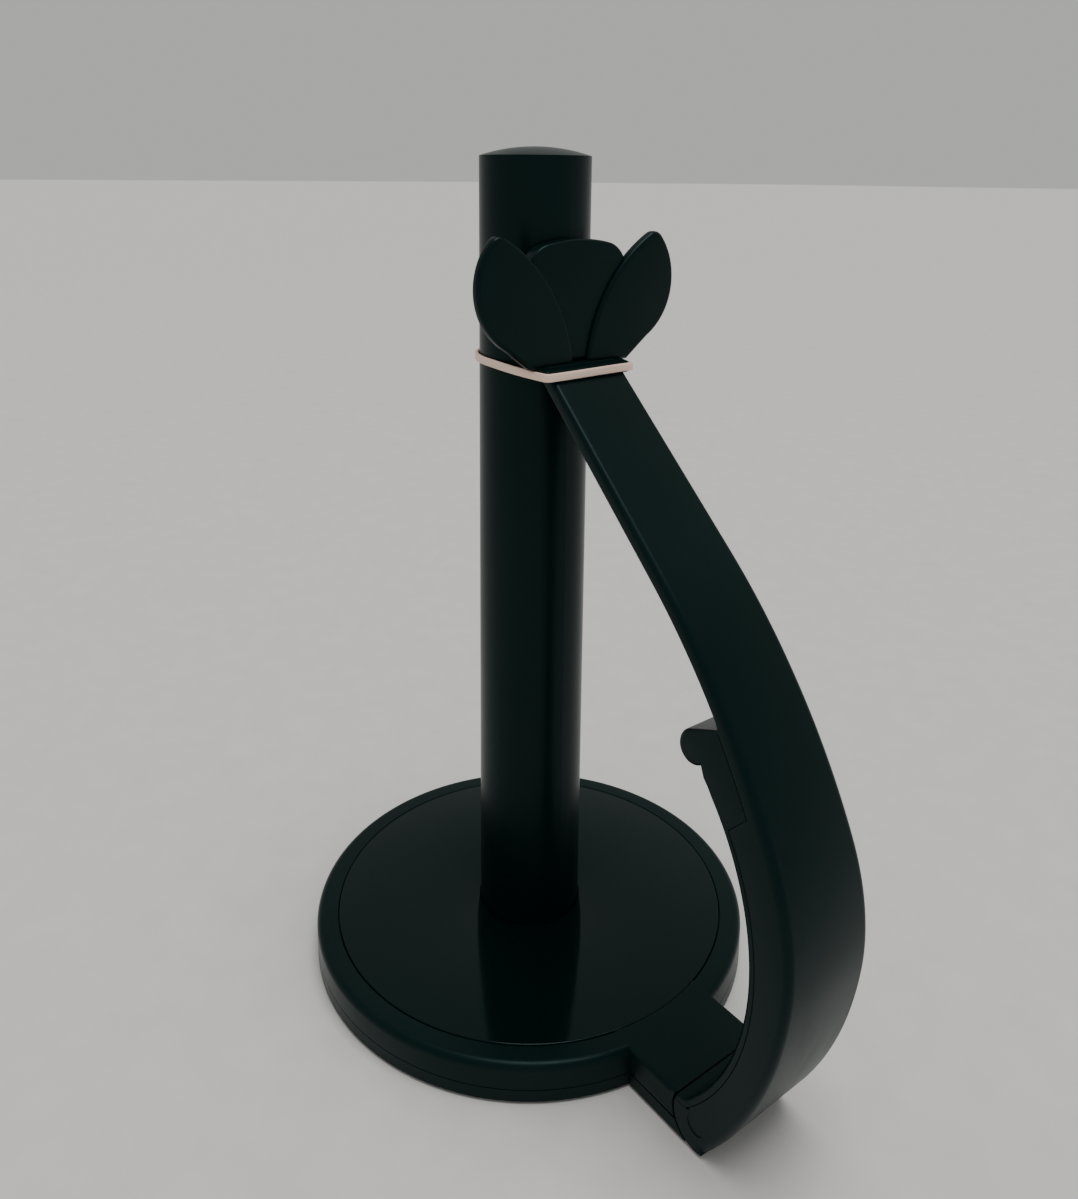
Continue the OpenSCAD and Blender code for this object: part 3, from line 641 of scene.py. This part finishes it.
def build_lug():
    end_a = math.degrees(math.asin((BASE_H - PIVOT[1]) / LUG_END_R))
    end = arc(PIVOT, LUG_END_R, 180.5 - end_a, 210.4, 16)
    x_top = PIVOT[0] - math.sqrt(LUG_END_R ** 2 - (BASE_H - PIVOT[1]) ** 2)
    outline = ([(LUG_X0, SEAM_Z)] + [p for p in end[::-1] if p[1] > SEAM_Z]
               + [(x_top, LUG_FACE_Z), (LUG_X0, LUG_FACE_Z)])

    def edge(u, v):
        return 1.3 if v > BASE_H - 0.1 else 0.3

    bm = bmesh.new()
    slab(bm, outline, on_edge, fixed(-LUG_W), fixed(LUG_W), edge, edge, 6)
    lug = new_object("lug", bm, satin)
    seat = bmesh.new()
    slab(seat, arc((0, 0), DECK_R + DECK_GAP, 0, 360, 120)[:-1], flat, fixed(-5.0), fixed(30.0),
         fixed(0.02), fixed(0.02), 1)
    return combine(lug, new_object("cutter", seat, satin), "DIFFERENCE")


def lug_inside():
    x0, z1 = DECK_R + WALL, BASE_H - WALL
    box = [(x0, LUG_INSIDE_Z0), (LUG_INSIDE_X1, LUG_INSIDE_Z0), (LUG_INSIDE_X1, z1), (x0, z1)]
    bm = bmesh.new()
    slab(bm, box, on_edge, fixed(WALL - LUG_W), fixed(LUG_W - WALL), fixed(0.05), fixed(0.05), 1)
    return new_object("cutter", bm, satin)


def build_base():
    bm = bmesh.new()
    lathe(bm, base_profile(), 160)
    ob = new_object("base_shell_skin", bm, satin)
    combine(ob, build_lug(), "UNION")
    combine(ob, lug_inside(), "DIFFERENCE")
    shade(ob, 32.0)
    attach(ob, "stand")
    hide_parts("base_shell")


def build_deck():
    z0, z1, soft_edge, hole_edge = BASE_H - DECK_T, BASE_H, 0.45, 0.2
    hole_r = POST_R + 0.3
    bm = bmesh.new()
    lathe(bm, [(DECK_R, z0)] + arc((DECK_R - soft_edge, z1 - soft_edge), soft_edge, 0, 90, 6)
          + arc((hole_r + hole_edge, z1 - hole_edge), hole_edge, 90, 180, 4) + [(hole_r, z0)], 192)
    deck = new_object("deck_plate_skin", bm, gloss)
    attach(deck, "stand")
    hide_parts("deck_plate")


# ---------------------------------------------------------------- band and spring

def rounded_section(w, h, r, steps=4):
    x, y = w / 2 - r, h / 2 - r
    corners = ((x, y, 0), (-x, y, 90), (-x, -y, 180), (x, -y, 270))
    return [p for cx, cy, a in corners for p in arc((cx, cy), r, a, a + 90, steps)]


def between(p, q, n):
    """The points that cut the way from p to q into n equal steps, without p and q."""
    return [(p[0] + (q[0] - p[0]) * i / n, p[1] + (q[1] - p[1]) * i / n) for i in range(1, n)]


BAND_GAP, BAND_T, BAND_H, BAND_Z = 0.3, 1.2, 2.7, 228.25


def build_band():
    """A loop round the post and the collar's two outer corners, a little higher at the post's back."""
    mid = BAND_GAP + BAND_T / 2
    corner = (COLLAR_X - COLLAR_CORNER, COLLAR_W - COLLAR_CORNER)
    corner_r, post_r = COLLAR_CORNER + mid, POST_R + mid
    a = math.degrees(math.atan2(corner[1], corner[0]) + math.acos((post_r - corner_r) / math.hypot(*corner)))
    around = arc((0, 0), post_r, a, 360 - a, 72)
    first = arc((corner[0], -corner[1]), corner_r, -a, 0, 10)
    second = arc(corner, corner_r, 0, a, 10)
    loop = (around + between(around[-1], first[0], 14) + first + between(first[-1], second[0], 14)
            + second + between(second[-1], around[0], 14))
    path = []
    for x, y in loop:
        turn = math.atan2(y, x)
        lift = 0.8 * (1.0 - math.cos(turn)) + 0.2 * math.sin(3 * turn + 0.6)
        path.append(Vector((x, y, BAND_Z + lift)))
    bm = bmesh.new()
    tube(bm, path, {"up": Vector((0, 0, 1)), "points": rounded_section(BAND_T, BAND_H, 0.45)}, True)
    band = new_object("rubber_band_loop", bm, latex, 50.0)
    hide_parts("rubber_band")
    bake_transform(band)


COIL_R, COIL_TURNS, COIL_HALF_L, WIRE_R = 3.05, 7, 4.9, 0.62
LEG_LEAN, LEG_L, TAIL_X0 = 75.0, 18.5, 86.0


def build_spring():
    """A straight tail along the bracket, the coil round the pin, and a leg that leans on the arm."""
    start, end = -90.0, LEG_LEAN - 90.0 + 360.0 * COIL_TURNS
    steps = 24 * COIL_TURNS
    coil = []
    for i in range(steps + 1):
        f = i / steps
        c, s = heading(start + f * (end - start))
        coil.append(Vector((PIVOT[0] + COIL_R * c, (2 * f - 1) * COIL_HALF_L, PIVOT[1] + COIL_R * s)))
    tail = [Vector((TAIL_X0 + 2.0 * i, -COIL_HALF_L, PIVOT[1] - COIL_R)) for i in range(11)]
    c, s = heading(LEG_LEAN)
    leg_way = Vector((c, 0, s)) * LEG_L
    leg = [coil[-1] + leg_way * t for t in (0.12, 0.2, 0.3, 0.4, 0.5, 0.6, 0.7, 0.8, 0.9, 1.0)]
    bm = bmesh.new()
    section = arc((0, 0), WIRE_R, 0, 360, 12)[:-1]
    tube(bm, tail + coil + leg, {"up": Vector((0, 1, 0)), "points": section}, False)
    spring = new_object("torsion_spring_wire", bm, wire, 60.0)
    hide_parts("torsion_spring")
    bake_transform(spring)


build_shell()
build_cover()
build_head()
build_base()
build_deck()
build_band()
build_spring()

# ---------------------------------------------------------------- floor, lights, camera

FLOOR_HALF, FLOOR_Z = 40.0, -0.0001


def floor():
    me = bpy.data.meshes.new("floor")
    bm = bmesh.new()
    bmesh.ops.create_grid(bm, x_segments=8, y_segments=8, size=FLOOR_HALF)
    bm.to_mesh(me)
    bm.free()
    ob = bpy.data.objects.new("floor", me)
    ob.location.z = FLOOR_Z
    bpy.context.scene.collection.objects.link(ob)
    m = Nodes("table")
    fine = m.noise(60.0, 5.0)
    me.materials.append(m.finish(m.ramp(fine, [(0.3, (0.7, 0.69, 0.67)), (0.7, (0.74, 0.73, 0.71))]),
                                 m.span(fine, 0.3, 0.7, 0.5, 0.6)))


def sky_light(name, place, strength, spread):
    """Soft light from the direction of place, spread over an angle in degrees."""
    data = bpy.data.lights.new(name, "SUN")
    data.energy = strength
    data.angle = math.radians(spread)
    ob = bpy.data.objects.new(name, data)
    bpy.context.scene.collection.objects.link(ob)
    ob.rotation_euler = Vector(place).to_track_quat("Z", "Y").to_euler()


floor()
sky_light("key", (0.15, 0.06, 1.0), 1.6, 34.0)

# an even pale room
ROOM_COLOUR = (0.64, 0.64, 0.63)
ROOM_LIGHT = 0.75
world = bpy.data.worlds.new("studio")
world.use_nodes = True
room = world.node_tree.nodes["Background"]
room.inputs["Color"].default_value = (*ROOM_COLOUR, 1.0)
room.inputs["Strength"].default_value = ROOM_LIGHT
bpy.context.scene.world = world

CAMERA_AT = (0.2821, -0.2131, 0.2909)
PITCH, YAW, ROLL = 12.40, 0.32, -0.55
FOCAL_PX, PIXELS_HIGH, CENTRE_Y = 1020.5, 1199, 400.0


def camera():
    data = bpy.data.cameras.new("camera")
    data.sensor_fit = "AUTO"
    data.sensor_width = 36.0
    data.lens = FOCAL_PX / PIXELS_HIGH * data.sensor_width
    data.shift_y = (CENTRE_Y - (PIXELS_HIGH - 1) / 2) / PIXELS_HIGH
    data.clip_start, data.clip_end = 0.01, 50.0
    ob = bpy.data.objects.new("camera", data)
    bpy.context.scene.collection.objects.link(ob)
    ob.location = CAMERA_AT
    # the view runs from the camera toward the post, then turns right by YAW and down by PITCH
    toward = math.atan2(-CAMERA_AT[1], -CAMERA_AT[0]) - math.radians(YAW)
    level, drop = heading(PITCH)
    forward = Vector((math.cos(toward) * level, math.sin(toward) * level, -drop))
    ob.rotation_mode = "QUATERNION"
    ob.rotation_quaternion = Quaternion(forward, math.radians(ROLL)) @ forward.to_track_quat("-Z", "Y")
    bpy.context.scene.camera = ob


camera()
